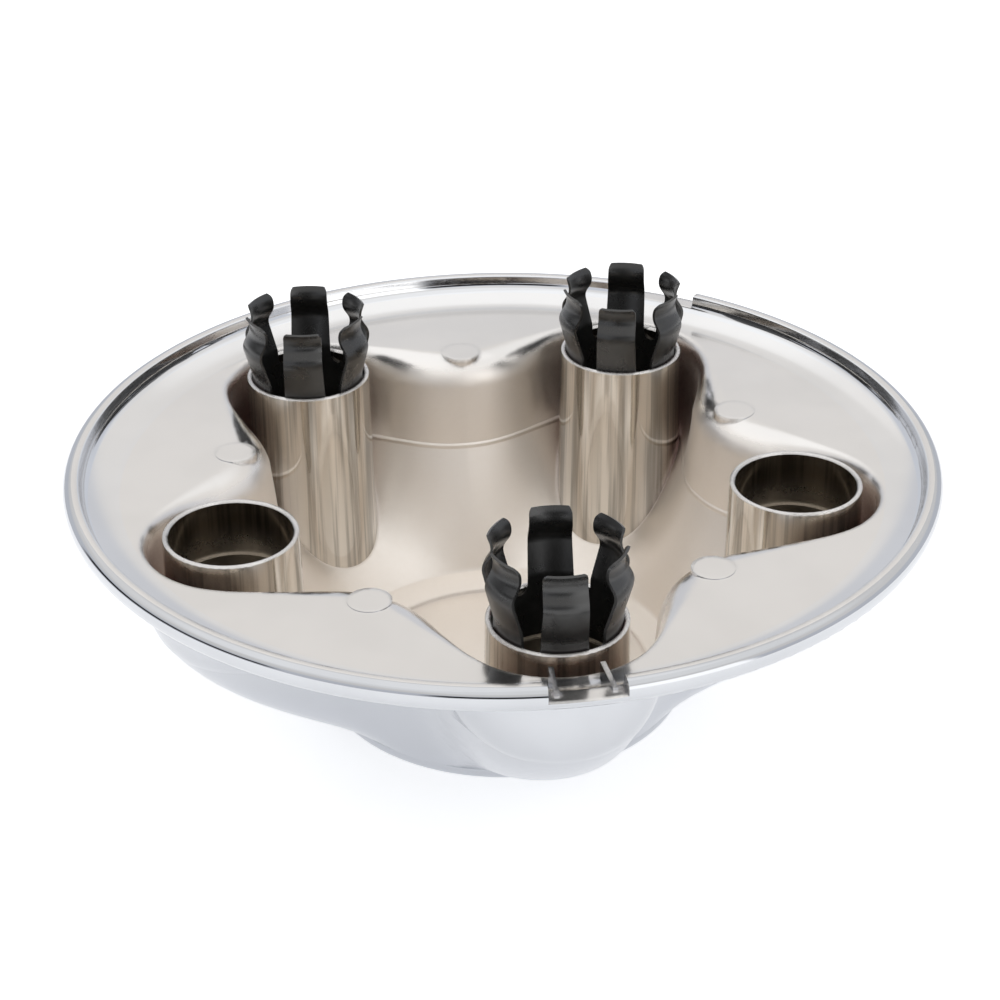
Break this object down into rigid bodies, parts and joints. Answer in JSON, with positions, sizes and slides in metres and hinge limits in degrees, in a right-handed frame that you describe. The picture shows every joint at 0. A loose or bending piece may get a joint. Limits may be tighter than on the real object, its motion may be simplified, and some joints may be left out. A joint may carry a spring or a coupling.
{
  "type": "wheel centre cap",
  "caption": "Chrome wheel centre cap lying face down: lobed bowl, hollow lug posts, raised rim wall and black sprung nut clips.",
  "frame": {"origin": "centre of the flat front face, which lies on the plane z = 0", "axes": "+Z along the wheel axis towards the back side of the cap, -Y towards the front post"},
  "size_m": [0.208, 0.2079, 0.08],
  "materials": {
    "chrome_plate": "bright chrome plate over moulded plastic",
    "spring_steel": "black coated spring steel, satin"
  },
  "bodies": {
    "root": {"cap_body": "chrome_plate", "retaining_clip_front": "spring_steel", "retaining_clip_rear_right": "spring_steel", "retaining_clip_rear_left": "spring_steel"}
  },
  "joints": []
}
